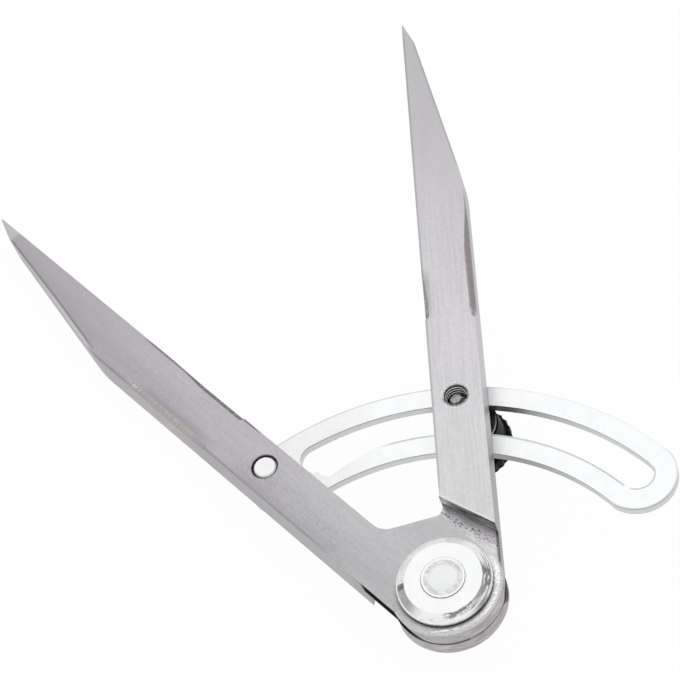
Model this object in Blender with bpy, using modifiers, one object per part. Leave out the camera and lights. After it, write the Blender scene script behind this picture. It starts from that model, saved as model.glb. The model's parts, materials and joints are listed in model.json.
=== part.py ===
# Marking compass: a wing divider with a lapped pivot, a slotted arc and a clamping knob.
#
# The tool is drawn in its own frame: the pivot's axis is Z, Z = 0 is the lap plane between
# the two legs, +Z is the side of the riveted pin, and the right leg points along +Y.
# A leg's outline is drawn with Y along the leg and +X towards the other leg.
# The whole tool is then laid down on its knob, the arc's rivet pin and its left point.

import math

import bmesh
import bpy
from mathutils import Matrix, Vector

# Gaps and clearances
CONTACT_GAP = 0.0003          # between pieces that bear on each other
RUNNING_GAP = 0.0003          # radial, between a pin or screw and its hole
CUT_MARGIN = 0.002            # how far a cutter runs past the face it cuts

# Legs, two alike with one of them turned over
OPENING = math.radians(40.3)  # angle between the legs as laid down
LEG_REACH = 0.1396            # pivot to point
LEG_WIDTH = 0.0100
LEG_THICKNESS = 0.0074
INNER_OFFSET = 0.0002         # inner edge back from the line through the pivot
POINT_WIDTH = 0.0003          # flat left on the point
POINT_LENGTH = 0.0058         # last, steeper part of the point
POINT_ROOT_WIDTH = 0.0025     # leg width where that part begins
TAPER_LENGTH = 0.0452         # where the outer edge starts to run in, back from the point
TAPER_ROUND = 0.030           # easing of that corner

# Lapped head of a leg
HEAD_BULGE = 0.0005           # the head's round stands out past the leg's outer edge
HEAD_EDGE_BREAK = 0.0004      # edge taken off round the head's outer face
CHEEK_INSET = 0.0011          # straight far side of the head, inside that round
CHEEK_TOP = 0.0109            # where that side ends, along the leg
CHEEK_CORNER_RADIUS = 0.0006
SHOULDER_ROOT = 0.0173        # where the shoulder meets the inner edge, along the leg
SHOULDER_FILLET = 0.0040
LAP_INNER = 0.0186            # end of the lap recess at the inner edge
LAP_OUTER = 0.0110            # end of the lap recess at the outer edge

# Hand-ground flats on the long edges of the legs, from their deep end to where they run out
FLAT_WIDTH = 0.0009
FLAT_RUN_OUT = 0.0100
FLAT_END_ROUND = 0.0010
OUTER_FLAT = (0.0585, 0.0860)
LEFT_INNER_FLAT = (0.0572, 0.0800)
RIGHT_INNER_FLAT = (0.0596, 0.0740)

# Pivot rivet and its two washers
RIVET_SHANK_RADIUS = 0.0030
RIVET_HEAD_RADIUS = 0.00407
RIVET_PROUD = 0.0002          # rivet head above the washer
RIVET_DOME = 0.00012          # crown of the hammered head
RIVET_CROWN = 0.8             # flat middle of that head, as a share of its radius
WASHER_RADIUS = 0.00904
WASHER_THICKNESS = 0.0016
WASHER_CHAMFER_WIDTH = 0.0017
WASHER_CHAMFER_HEIGHT = 0.0011
WASHER_SEAT_DEPTH = 0.0008    # counterbore that the rivet head fills

# Rivet pin that holds the arc on the left leg
PIN_RADIUS = 0.00235
PIN_ALONG = 0.0458            # place on the left leg, along it
PIN_ACROSS = -0.0050          # and across it
PIN_EDGE = 0.0003
PIN_TAIL_RADIUS = 0.0037
PIN_TAIL_HEIGHT = 0.0011

# Clamping screw, its hole in the right leg, its washer and its knob
SCREW_RADIUS = 0.00205        # M5 at the root of its thread
SCREW_ALONG = 0.0408          # place on the right leg, along it
SCREW_ACROSS = -0.0050        # and across it
SCREW_RECESS = 0.0019         # screw end below the leg's face
SCREW_POINT = 0.0006
SCREW_IN_KNOB = 0.0055
CLAMP_WASHER_RADIUS = 0.0060
CLAMP_WASHER_THICKNESS = 0.0010
KNOB_RADIUS = 0.0080
KNOB_HEIGHT = 0.0082
KNOB_HUB_RADIUS = 0.0063      # at the washer
KNOB_HUB_FOOT_RADIUS = 0.0070 # where the hub meets the ribbed grip
KNOB_GRIP_HEIGHT = 0.0027
KNOB_EDGE = 0.0004
KNOB_RIBS = 30
KNOB_RIB_DEPTH = 0.00045

# Slotted arc, struck from a centre near the pivot, with its rivet pin close to the slot's line
ARC_THICKNESS = 0.0019
ARC_RADIUS = 0.0529           # middle of the slot
PIN_INSET = 0.00032           # rivet pin inside that line
PIN_BEARING = math.radians(123.8)     # rivet pin seen from the arc's centre
ARC_BAND = 0.0150             # full width of the arc
SLOT_WIDTH = 0.0065
SLOT_END_ANGLE = math.radians(39.0)   # slot's free end, seen from the arc's centre
SLOT_START_ANGLE = math.radians(113.0)
ARC_TIP_RADIUS = 0.0077       # round free end, a little wider than the band
ARC_TIP_EASE = math.radians(10.0)     # where that round meets the band's edges
ARC_EYE_RADIUS = 0.0049       # end that the rivet pin goes through
ARC_EYE_APPROACH = 0.0090     # where the band's edges leave for the eye, inside the leg's width
SCREW_SWEEP_GAP = 0.00010     # relief either side of the screw's own path

# Motion
OPENING_MIN = math.radians(0.0)
OPENING_MAX = math.radians(90.0)

# Places that follow from the sizes above
FACE = LEG_THICKNESS / 2
OUTER_EDGE = -(INNER_OFFSET + LEG_WIDTH)
HEAD_RADIUS = HEAD_BULGE - OUTER_EDGE
CHEEK_OFFSET = HEAD_RADIUS - CHEEK_INSET
HEAD_START = math.acos(OUTER_EDGE / HEAD_RADIUS)
HEAD_END = 2 * math.pi - math.acos(CHEEK_OFFSET / HEAD_RADIUS)
ARC_TOP = -FACE - CONTACT_GAP
ARC_BOTTOM = ARC_TOP - ARC_THICKNESS
CLAMP_WASHER_TOP = ARC_BOTTOM - CONTACT_GAP
CLAMP_WASHER_BOTTOM = CLAMP_WASHER_TOP - CLAMP_WASHER_THICKNESS
KNOB_TOP = CLAMP_WASHER_BOTTOM - CONTACT_GAP
KNOB_BOTTOM = KNOB_TOP - KNOB_HEIGHT
PIN_TAIL_TOP = ARC_BOTTOM - CONTACT_GAP
PIN_TAIL_BOTTOM = PIN_TAIL_TOP - PIN_TAIL_HEIGHT
SCREW_TOP = FACE - SCREW_RECESS
SCREW_BOTTOM = KNOB_TOP - SCREW_IN_KNOB
WASHER_SEAT = FACE + CONTACT_GAP
WASHER_FACE = WASHER_SEAT + WASHER_THICKNESS
WASHER_FLAT_RADIUS = WASHER_RADIUS - WASHER_CHAMFER_WIDTH

# Facets
ROUND_STEPS = 48
SMALL_STEPS = 32
FILLET_POINTS = 7
EDGE_POINTS = 12
HEAD_POINTS = 40
RUN_OUT_POINTS = 6            # further ones, where the head's broken edge runs out
CORNER_POINTS = 4
KNOB_STEPS = 60
RIB_POINTS = 4
SMOOTH_ANGLE = math.radians(35.0)

# Rounds of the search for the resting position
RESTING_ROUNDS = 12


def polar(radius, angle, centre=(0.0, 0.0)):
    return Vector((centre[0] + radius * math.cos(angle), centre[1] + radius * math.sin(angle)))


def arc_points(centre, radius, start, end, count):
    """Points on a circle from one angle to another, both ends included."""
    return [polar(radius, start + (end - start) * i / (count - 1), centre) for i in range(count)]


def rounded(before, corner, after, radius, count=FILLET_POINTS):
    """Points that round the corner of an outline with a tangent arc."""
    before, corner, after = Vector(before), Vector(corner), Vector(after)
    to_before = (before - corner).normalized()
    to_after = (after - corner).normalized()
    half = math.acos(max(-1.0, min(1.0, to_before.dot(to_after)))) / 2
    setback = radius / math.tan(half)
    centre = corner + (to_before + to_after).normalized() * (radius / math.sin(half))
    first = corner + to_before * setback
    last = corner + to_after * setback
    start = math.atan2(first.y - centre.y, first.x - centre.x)
    sweep = math.atan2(last.y - centre.y, last.x - centre.x) - start
    sweep = (sweep + math.pi) % (2 * math.pi) - math.pi
    return arc_points(centre, radius, start, start + sweep, count)


def on_left_leg(across, along):
    """A point of the left leg's drawing in the tool's frame."""
    return Vector((across * math.cos(OPENING) - along * math.sin(OPENING),
                   across * math.sin(OPENING) + along * math.cos(OPENING)))


def on_right_leg(across, along):
    """A point of the right leg's drawing, turned over, in the tool's frame."""
    return Vector((-across, along))


PIN_CENTRE = on_left_leg(PIN_ACROSS, PIN_ALONG)
SCREW_CENTRE = on_right_leg(SCREW_ACROSS, SCREW_ALONG)
ARC_CENTRE = PIN_CENTRE - polar(ARC_RADIUS - PIN_INSET, PIN_BEARING)


# Scene helpers

def clear_scene():
    for item in list(bpy.data.objects):
        bpy.data.objects.remove(item, do_unlink=True)


def new_collection(name):
    group = bpy.data.collections.new(name)
    bpy.context.scene.collection.children.link(group)
    return group


def new_material(name, colour, roughness, metallic):
    material = bpy.data.materials.new(name)
    material.use_nodes = True
    shader = material.node_tree.nodes["Principled BSDF"]
    shader.inputs["Base Color"].default_value = (*colour, 1.0)
    shader.inputs["Roughness"].default_value = roughness
    shader.inputs["Metallic"].default_value = metallic
    return material


def add_object(name, mesh, group):
    item = bpy.data.objects.new(name, mesh)
    group.objects.link(item)
    return item


def mesh_from_outlines(name, outlines, bottom, top):
    """A flat plate: one closed 2D curve for each outline, filled and extruded."""
    curve = bpy.data.curves.new(name, "CURVE")
    curve.dimensions = "2D"
    curve.fill_mode = "BOTH"
    curve.extrude = (top - bottom) / 2
    for outline in outlines:
        spline = curve.splines.new("POLY")
        spline.points.add(len(outline) - 1)
        for point, place in zip(spline.points, outline):
            point.co = (place[0], place[1], 0.0, 1.0)
        spline.use_cyclic_u = True
    guide = bpy.data.objects.new(name, curve)
    bpy.context.scene.collection.objects.link(guide)
    bpy.context.view_layer.update()
    evaluated = guide.evaluated_get(bpy.context.evaluated_depsgraph_get())
    mesh = bpy.data.meshes.new_from_object(evaluated)
    mesh.name = name
    bpy.data.objects.remove(guide, do_unlink=True)
    work = bmesh.new()
    work.from_mesh(mesh)
    bmesh.ops.remove_doubles(work, verts=work.verts, dist=0.000001)
    bmesh.ops.translate(work, verts=work.verts, vec=(0.0, 0.0, (top + bottom) / 2))
    bmesh.ops.recalc_face_normals(work, faces=work.faces)
    work.to_mesh(mesh)
    work.free()
    return mesh


def turned(name, profile, group, steps=ROUND_STEPS):
    """A turned piece: the profile of (radius, height) runs from the top down its outer side."""
    mesh = bpy.data.meshes.new(name)
    points = [(radius, 0.0, height) for radius, height in profile]
    mesh.from_pydata(points, [(i, i + 1) for i in range(len(points) - 1)], [])
    item = add_object(name, mesh, group)
    screw = item.modifiers.new("Turn", "SCREW")
    screw.axis = "Z"
    screw.angle = 2 * math.pi
    screw.steps = steps
    screw.render_steps = steps
    screw.use_merge_vertices = True
    screw.merge_threshold = 0.000001
    screw.use_normal_calculate = False
    return item


def closed_profile(profile):
    """A turned ring's section: the profile comes back to its first point."""
    return list(profile) + [profile[0]]


def cylinder_cutter(name, radius, bottom, top, centre, group, steps=SMALL_STEPS):
    mesh = bpy.data.meshes.new(name)
    work = bmesh.new()
    bmesh.ops.create_cone(work, cap_ends=True, segments=steps, radius1=radius, radius2=radius,
                          depth=top - bottom)
    bmesh.ops.translate(work, verts=work.verts,
                        vec=(centre[0], centre[1], (top + bottom) / 2))
    work.to_mesh(mesh)
    work.free()
    return as_cutter(add_object(name, mesh, group))


def as_cutter(item):
    item.hide_render = True
    item.display_type = "WIRE"
    return item


def apply_boolean(item, other, operation):
    boolean = item.modifiers.new(other.name, "BOOLEAN")
    boolean.operation = operation
    boolean.solver = "EXACT"
    boolean.object = other
    return boolean


def smooth(item):
    item.data.shade_smooth()
    item.data.set_sharp_from_angle(angle=SMOOTH_ANGLE)


def new_empty(name, place, angle, group, parent=None):
    empty = bpy.data.objects.new(name, None)
    empty.empty_display_size = 0.01
    empty.location = place
    empty.rotation_euler = (0.0, 0.0, angle)
    group.objects.link(empty)
    if parent is not None:
        empty.parent = parent
    return empty


# Legs

def leg_outline():
    """Point, tapered blade, bar and lapped head of one leg, anticlockwise."""
    inner = -INNER_OFFSET
    taper_corner = (OUTER_EDGE, LEG_REACH - TAPER_LENGTH)
    point_root = (inner - POINT_ROOT_WIDTH, LEG_REACH - POINT_LENGTH)
    cheek_foot = polar(HEAD_RADIUS, HEAD_END)
    cheek_top = (CHEEK_OFFSET, CHEEK_TOP)
    shoulder_root = (inner, SHOULDER_ROOT)
    head_start_point = polar(HEAD_RADIUS, HEAD_START)
    outline = [(inner, LEG_REACH), (inner - POINT_WIDTH, LEG_REACH), point_root]
    outline += rounded(point_root, taper_corner, head_start_point, TAPER_ROUND)
    outline += arc_points((0.0, 0.0), HEAD_RADIUS, HEAD_START, HEAD_END, HEAD_POINTS)
    outline += rounded(cheek_foot, cheek_top, shoulder_root, CHEEK_CORNER_RADIUS,
                       CORNER_POINTS)
    outline += rounded(cheek_top, shoulder_root, (inner, LEG_REACH), SHOULDER_FILLET)
    return outline


def lap_cutter(name, group):
    """What is milled off one side of a head: everything short of the slanted end wall."""
    slope = (LAP_INNER - LAP_OUTER) / LEG_WIDTH
    beyond = -HEAD_RADIUS - CUT_MARGIN
    far = CHEEK_OFFSET + CUT_MARGIN
    outline = [(beyond, LAP_OUTER - slope * (OUTER_EDGE - beyond)), (beyond, beyond),
               (far, beyond), (far, LAP_INNER), (-INNER_OFFSET, LAP_INNER)]
    mesh = mesh_from_outlines(name, [outline], -FACE - CUT_MARGIN, CONTACT_GAP / 2)
    return as_cutter(add_object(name, mesh, group))


def flat_cutter(name, edge, flat, side, group):
    """What is ground off a long edge: full depth at the near end, running out at the far end."""
    near, far = flat
    depth = FLAT_WIDTH / math.sqrt(2)
    full = (far - FLAT_RUN_OUT, -depth)
    outline = [(far + FLAT_RUN_OUT, depth), full]
    outline += rounded(full, (near, -depth), (near, depth), FLAT_END_ROUND)
    outline += [(near, depth)]
    mesh = mesh_from_outlines(name, [outline], -2 * FLAT_WIDTH, 2 * FLAT_WIDTH)
    normal = Vector((side, 0.0, 1.0)).normalized()
    along = Vector((0.0, 1.0, 0.0))
    turn = Matrix((along, normal, along.cross(normal))).transposed().to_4x4()
    mesh.transform(Matrix.Translation((edge, 0.0, FACE)) @ turn)
    return as_cutter(add_object(name, mesh, group))


def head_edge_cutter(name, group):
    """What is broken off the edge round the head's outer face, running out along the cheek."""
    reach = 2 * HEAD_EDGE_BREAK
    section = [(HEAD_RADIUS - HEAD_EDGE_BREAK - reach, FACE + reach),
               (HEAD_RADIUS + reach, FACE - HEAD_EDGE_BREAK - reach),
               (HEAD_RADIUS + reach, FACE + reach)]
    step = (HEAD_END - HEAD_START) / (HEAD_POINTS - 1)
    rings = HEAD_POINTS + RUN_OUT_POINTS
    points = []
    for i in range(rings):
        for radius, height in section:
            points.append((*polar(radius, HEAD_START + step * i), height))
    corners = len(section)
    faces = [tuple(range(corners)), tuple(reversed(range(len(points) - corners, len(points))))]
    for first in range(0, len(points) - corners, corners):
        for i in range(corners):
            after = (i + 1) % corners
            faces.append((first + i, first + corners + i, first + corners + after, first + after))
    mesh = bpy.data.meshes.new(name)
    mesh.from_pydata(points, [], faces)
    work = bmesh.new()
    work.from_mesh(mesh)
    bmesh.ops.recalc_face_normals(work, faces=work.faces)
    work.to_mesh(mesh)
    work.free()
    return as_cutter(add_object(name, mesh, group))


def build_leg(name, hole_name, hole_place, hole_radius, inner_flat, shown_up, parts, cutters,
              material):
    """One leg, drawn with its lapped cheek on the +Z side, then turned over where needed."""
    mesh = mesh_from_outlines(name, [leg_outline()], -FACE, FACE)
    leg = add_object(name, mesh, parts)
    leg.data.materials.append(material)
    pivot_bore = cylinder_cutter(name + "_pivot_bore", RIVET_SHANK_RADIUS + RUNNING_GAP,
                                 -FACE - CUT_MARGIN, FACE + CUT_MARGIN, (0.0, 0.0), cutters,
                                 ROUND_STEPS)
    hole = cylinder_cutter(hole_name, hole_radius, -FACE - CUT_MARGIN, FACE + CUT_MARGIN,
                           hole_place, cutters)
    flats = [flat_cutter(name + "_outer_flat", OUTER_EDGE, OUTER_FLAT, -1.0, cutters),
             flat_cutter(name + "_inner_flat", -INNER_OFFSET, inner_flat, 1.0, cutters)]
    if not shown_up:
        for cutter in flats:
            cutter.data.transform(Matrix.Scale(-1.0, 4, (0.0, 0.0, 1.0)))
            cutter.data.flip_normals()
    head_edge = head_edge_cutter(name + "_head_edge", cutters)
    lap = lap_cutter(name + "_lap", cutters)
    for cutter in (lap, head_edge, pivot_bore, hole, *flats):
        apply_boolean(leg, cutter, "DIFFERENCE")
        cutter.parent = leg
    return leg


# Pivot

def pivot_washer_profile(face_up):
    """Section of a pivot washer: wide chamfer outside, counterbore for the rivet head."""
    bore = RIVET_SHANK_RADIUS + RUNNING_GAP
    seat = RIVET_HEAD_RADIUS + RUNNING_GAP
    section = [(seat, WASHER_FACE), (WASHER_FLAT_RADIUS, WASHER_FACE),
               (WASHER_RADIUS, WASHER_FACE - WASHER_CHAMFER_HEIGHT),
               (WASHER_RADIUS, WASHER_SEAT), (bore, WASHER_SEAT),
               (bore, WASHER_FACE - WASHER_SEAT_DEPTH), (seat, WASHER_FACE - WASHER_SEAT_DEPTH)]
    if face_up:
        return closed_profile(section)
    return closed_profile([(radius, -height) for radius, height in reversed(section)])


def rivet_profile():
    """Pivot rivet with its two hammered heads."""
    head_seat = WASHER_FACE - WASHER_SEAT_DEPTH + CONTACT_GAP
    head_top = WASHER_FACE + RIVET_PROUD
    crown_radius = RIVET_HEAD_RADIUS * RIVET_CROWN
    upper = [(0.0, head_top), (crown_radius, head_top),
             (RIVET_HEAD_RADIUS, head_top - RIVET_DOME),
             (RIVET_HEAD_RADIUS, head_seat), (RIVET_SHANK_RADIUS, head_seat)]
    return upper + [(radius, -height) for radius, height in reversed(upper)]


def pin_profile():
    """Rivet pin of the arc: flush in the left leg, spread below the arc."""
    return [(0.0, FACE), (PIN_RADIUS - PIN_EDGE, FACE), (PIN_RADIUS, FACE - PIN_EDGE),
            (PIN_RADIUS, PIN_TAIL_TOP), (PIN_TAIL_RADIUS, PIN_TAIL_TOP),
            (PIN_TAIL_RADIUS, PIN_TAIL_BOTTOM + PIN_EDGE),
            (PIN_TAIL_RADIUS - PIN_EDGE, PIN_TAIL_BOTTOM), (0.0, PIN_TAIL_BOTTOM)]


# Arc

def tangent_angle(point, centre, radius, side):
    """Direction from a circle's centre to where a line from a point touches the circle."""
    reach = point - centre
    return math.atan2(reach.y, reach.x) + side * math.acos(radius / reach.length)


def arc_outline():
    """Outer edge, eye, inner edge and round free end of the arc, anticlockwise."""
    half = ARC_BAND / 2
    outer_radius = ARC_RADIUS + half
    inner_radius = ARC_RADIUS - half
    leg_side = math.asin(ARC_EYE_APPROACH / outer_radius)
    outer = arc_points(ARC_CENTRE, outer_radius, SLOT_END_ANGLE,
                       OPENING + math.pi / 2 - leg_side, 3 * EDGE_POINTS)
    leg_side = math.asin(ARC_EYE_APPROACH / inner_radius)
    inner = arc_points(ARC_CENTRE, inner_radius, OPENING + math.pi / 2 - leg_side,
                       SLOT_END_ANGLE, 3 * EDGE_POINTS)
    eye_start = tangent_angle(outer[-1], PIN_CENTRE, ARC_EYE_RADIUS, 1.0)
    eye_end = tangent_angle(inner[0], PIN_CENTRE, ARC_EYE_RADIUS, -1.0)
    eye = arc_points(PIN_CENTRE, ARC_EYE_RADIUS, eye_start, eye_end + 2 * math.pi, EDGE_POINTS)
    tip = arc_points(polar(ARC_RADIUS, SLOT_END_ANGLE, ARC_CENTRE), ARC_TIP_RADIUS,
                     SLOT_END_ANGLE - math.pi + ARC_TIP_EASE, SLOT_END_ANGLE - ARC_TIP_EASE,
                     2 * EDGE_POINTS)
    return outer + eye + inner + tip


def slot_outline(centre, radius, width, start, end):
    """A curved slot with round ends between two angles seen from its centre."""
    half = width / 2
    outer = arc_points(centre, radius + half, start, end, 3 * EDGE_POINTS)
    far_end = arc_points(polar(radius, end, centre), half, end, end + math.pi, EDGE_POINTS)
    inner = arc_points(centre, radius - half, end, start, 3 * EDGE_POINTS)
    near_end = arc_points(polar(radius, start, centre), half, start + math.pi,
                          start + 2 * math.pi, EDGE_POINTS)
    return outer + far_end[1:-1] + inner + near_end[1:-1]


def build_arc(parts, cutters, material):
    mesh = mesh_from_outlines("slotted_arc", [arc_outline()], ARC_BOTTOM, ARC_TOP)
    arc = add_object("slotted_arc", mesh, parts)
    arc.data.materials.append(material)
    below = ARC_BOTTOM - CUT_MARGIN
    above = ARC_TOP + CUT_MARGIN
    slot_mesh = mesh_from_outlines(
        "slot_cutter",
        [slot_outline(ARC_CENTRE, ARC_RADIUS, SLOT_WIDTH, SLOT_END_ANGLE, SLOT_START_ANGLE)],
        below, above)
    slot = as_cutter(add_object("slot_cutter", slot_mesh, cutters))
    screw_radius = SCREW_CENTRE.length
    screw_angle = math.atan2(SCREW_CENTRE.y, SCREW_CENTRE.x)
    relief_width = 2 * (SCREW_RADIUS + SCREW_SWEEP_GAP)
    relief_mesh = mesh_from_outlines(
        "relief_cutter",
        [slot_outline((0.0, 0.0), screw_radius, relief_width,
                      screw_angle - (OPENING_MAX - OPENING),
                      screw_angle + (OPENING - OPENING_MIN))],
        below, above)
    relief = as_cutter(add_object("relief_cutter", relief_mesh, cutters))
    pin_hole = cylinder_cutter("arc_pin_hole", PIN_RADIUS + RUNNING_GAP, below, above,
                               PIN_CENTRE, cutters)
    for cutter in (slot, relief, pin_hole):
        apply_boolean(arc, cutter, "DIFFERENCE")
    return arc, (slot, relief, pin_hole)


# Clamp

def screw_profile():
    """Clamping screw, plain where its thread runs, with a pointed end."""
    return [(0.0, SCREW_TOP), (SCREW_RADIUS - SCREW_POINT, SCREW_TOP),
            (SCREW_RADIUS, SCREW_TOP - SCREW_POINT), (SCREW_RADIUS, SCREW_BOTTOM),
            (0.0, SCREW_BOTTOM)]


def clamp_washer_profile():
    bore = SCREW_RADIUS + RUNNING_GAP
    return closed_profile([(bore, CLAMP_WASHER_TOP), (CLAMP_WASHER_RADIUS, CLAMP_WASHER_TOP),
                           (CLAMP_WASHER_RADIUS, CLAMP_WASHER_BOTTOM),
                           (bore, CLAMP_WASHER_BOTTOM)])


def knob_outline():
    """Ribbed round of the knob: a ring of shallow scallops."""
    count = KNOB_RIBS * RIB_POINTS
    points = []
    for i in range(count):
        wave = 0.5 - 0.5 * math.cos(2 * math.pi * i / RIB_POINTS)
        angle = 2 * math.pi * (i + 0.5) / count
        points.append(polar(KNOB_RADIUS - KNOB_RIB_DEPTH * wave, angle))
    return points


def build_knob(parts, cutters, material):
    """Ribbed grip and tapered hub, trimmed by a turned envelope, with a blind screw hole."""
    mesh = mesh_from_outlines("clamp_knob", [knob_outline()], KNOB_BOTTOM - CUT_MARGIN,
                              KNOB_TOP + CUT_MARGIN)
    knob = add_object("clamp_knob", mesh, parts)
    knob.data.materials.append(material)
    grip_top = KNOB_BOTTOM + KNOB_GRIP_HEIGHT
    crest = KNOB_RADIUS - KNOB_EDGE
    beyond = KNOB_RADIUS + KNOB_EDGE
    envelope = turned("knob_envelope", [
        (0.0, KNOB_TOP), (KNOB_HUB_RADIUS, KNOB_TOP), (KNOB_HUB_FOOT_RADIUS, grip_top),
        (crest, grip_top), (beyond, grip_top - 2 * KNOB_EDGE),
        (beyond, KNOB_BOTTOM + 2 * KNOB_EDGE), (crest, KNOB_BOTTOM), (0.0, KNOB_BOTTOM)],
        cutters, KNOB_STEPS)
    as_cutter(envelope)
    bore_bottom = SCREW_BOTTOM - CONTACT_GAP
    bore = cylinder_cutter("knob_bore", SCREW_RADIUS + RUNNING_GAP, bore_bottom,
                           KNOB_TOP + CUT_MARGIN, (0.0, 0.0), cutters)
    apply_boolean(knob, envelope, "INTERSECT")
    apply_boolean(knob, bore, "DIFFERENCE")
    return knob, (envelope, bore)


# Lying at rest

def resting_normal():
    """Up direction, in the tool's frame, when it lies on knob, rivet pin and left point."""
    point_edge = [on_left_leg(-INNER_OFFSET - POINT_WIDTH, LEG_REACH),
                  on_left_leg(-INNER_OFFSET - POINT_ROOT_WIDTH, LEG_REACH - POINT_LENGTH)]
    up = Vector((0.0, 0.0, 1.0))
    for _ in range(RESTING_ROUNDS):
        downhill = Vector((-up.x, -up.y, 0.0)).normalized()
        knob = Vector((SCREW_CENTRE.x, SCREW_CENTRE.y, KNOB_BOTTOM))
        knob += downhill * (KNOB_RADIUS - KNOB_EDGE)
        tail = Vector((PIN_CENTRE.x, PIN_CENTRE.y, PIN_TAIL_BOTTOM))
        tail += downhill * (PIN_TAIL_RADIUS - PIN_EDGE)
        point = min((Vector((edge.x, edge.y, -FACE)) for edge in point_edge), key=up.dot)
        up = (knob - tail).cross(point - tail).normalized()
        if up.z < 0.0:
            up.negate()
    return up


def lay_down(tool, pieces):
    """Turn the tool to its resting position and put the origin under the middle of its box."""
    tool.rotation_mode = "QUATERNION"
    tool.rotation_quaternion = resting_normal().rotation_difference(Vector((0.0, 0.0, 1.0)))
    bpy.context.view_layer.update()
    graph = bpy.context.evaluated_depsgraph_get()
    low = Vector((math.inf,) * 3)
    high = Vector((-math.inf,) * 3)
    for piece in pieces:
        evaluated = piece.evaluated_get(graph)
        mesh = evaluated.to_mesh()
        for vertex in mesh.vertices:
            place = evaluated.matrix_world @ vertex.co
            low = Vector(map(min, low, place))
            high = Vector(map(max, high, place))
        evaluated.to_mesh_clear()
    tool.location = (-(low.x + high.x) / 2, -(low.y + high.y) / 2, -low.z)


def build():
    clear_scene()
    parts = new_collection("marking_compass")
    cutters = new_collection("cutters")
    frames = new_collection("frames")

    leg_steel = new_material("ground_steel", (0.60, 0.60, 0.61), 0.38, 0.9)
    left_steel = new_material("ground_steel_left", (0.52, 0.51, 0.52), 0.40, 0.9)
    arc_zinc = new_material("zinc_plate", (0.83, 0.85, 0.86), 0.32, 0.8)
    bright_zinc = new_material("bright_zinc", (0.80, 0.82, 0.82), 0.28, 0.9)
    pin_steel = new_material("bright_pin", (0.86, 0.87, 0.88), 0.30, 0.9)
    screw_steel = new_material("dark_screw", (0.30, 0.30, 0.31), 0.40, 0.9)
    black_washer = new_material("black_washer", (0.03, 0.03, 0.03), 0.45, 0.3)
    black_plastic = new_material("black_plastic", (0.015, 0.015, 0.016), 0.45, 0.0)

    tool = new_empty("tool_frame", (0.0, 0.0, 0.0), 0.0, frames)
    left_frame = new_empty("left_leg_frame", (0.0, 0.0, 0.0), OPENING, frames, tool)
    right_frame = new_empty("right_leg_frame", (0.0, 0.0, 0.0), 0.0, frames, tool)
    clamp_frame = new_empty("clamp_axis", (SCREW_CENTRE.x, SCREW_CENTRE.y, 0.0), 0.0, frames,
                            right_frame)

    left_leg = build_leg("left_leg", "arc_pin_bore", (PIN_ACROSS, PIN_ALONG),
                         PIN_RADIUS + RUNNING_GAP,
                         LEFT_INNER_FLAT, True, parts, cutters, left_steel)
    left_leg.parent = left_frame
    right_leg = build_leg("right_leg", "clamp_screw_hole", (SCREW_ACROSS, SCREW_ALONG),
                          SCREW_RADIUS + RUNNING_GAP,
                          RIGHT_INNER_FLAT, False, parts, cutters, leg_steel)
    right_leg.rotation_euler = (0.0, math.pi, 0.0)
    right_leg.parent = right_frame

    rivet = turned("pivot_rivet", rivet_profile(), parts)
    rivet.data.materials.append(bright_zinc)
    front_washer = turned("front_pivot_washer", pivot_washer_profile(True), parts)
    front_washer.data.materials.append(bright_zinc)
    back_washer = turned("back_pivot_washer", pivot_washer_profile(False), parts)
    back_washer.data.materials.append(bright_zinc)
    for piece in (rivet, front_washer, back_washer):
        piece.parent = tool

    pin = turned("arc_rivet_pin", pin_profile(), parts, SMALL_STEPS)
    pin.data.materials.append(pin_steel)
    pin.location = (PIN_CENTRE.x, PIN_CENTRE.y, 0.0)
    pin.parent = tool

    arc, arc_cutters = build_arc(parts, cutters, arc_zinc)
    for item in (arc, *arc_cutters):
        item.parent = tool

    screw = turned("clamp_screw", screw_profile(), parts, SMALL_STEPS)
    screw.data.materials.append(screw_steel)
    clamp_washer = turned("clamp_washer", clamp_washer_profile(), parts)
    clamp_washer.data.materials.append(black_washer)
    knob, knob_cutters = build_knob(parts, cutters, black_plastic)
    for item in (screw, clamp_washer, knob, *knob_cutters):
        item.parent = clamp_frame

    pieces = list(parts.objects)
    for piece in pieces:
        smooth(piece)
    lay_down(tool, pieces)


build()
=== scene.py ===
"""Looks of the marking compass: ground steel legs, plated pivot and arc, thread, knob and stage."""

import json
import math
import bmesh
import bpy
from bpy.props import FloatProperty, FloatVectorProperty, IntProperty, PointerProperty
from mathutils import Matrix, Quaternion, Vector


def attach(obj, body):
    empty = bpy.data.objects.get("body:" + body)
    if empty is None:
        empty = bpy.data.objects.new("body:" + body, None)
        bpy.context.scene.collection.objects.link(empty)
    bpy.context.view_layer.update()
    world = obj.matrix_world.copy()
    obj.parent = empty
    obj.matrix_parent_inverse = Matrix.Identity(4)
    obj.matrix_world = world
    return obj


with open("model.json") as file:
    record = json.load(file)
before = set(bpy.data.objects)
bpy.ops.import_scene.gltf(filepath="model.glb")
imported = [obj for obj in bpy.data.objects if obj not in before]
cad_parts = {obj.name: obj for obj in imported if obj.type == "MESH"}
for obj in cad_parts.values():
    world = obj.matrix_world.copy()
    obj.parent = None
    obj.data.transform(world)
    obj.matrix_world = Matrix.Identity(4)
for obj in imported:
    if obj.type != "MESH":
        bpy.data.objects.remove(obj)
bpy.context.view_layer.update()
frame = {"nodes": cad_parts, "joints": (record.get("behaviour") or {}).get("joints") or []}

bl_info = {
    "name": "Marking compass looks",
    "version": (1, 0, 0),
    "blender": (4, 5, 0),
    "location": "3D View > Sidebar > Compass",
    "description": "Finishes, small pieces and stage of the marking compass",
    "category": "Object",
}

MILLIMETRES = 1000.0          # in a metre

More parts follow.
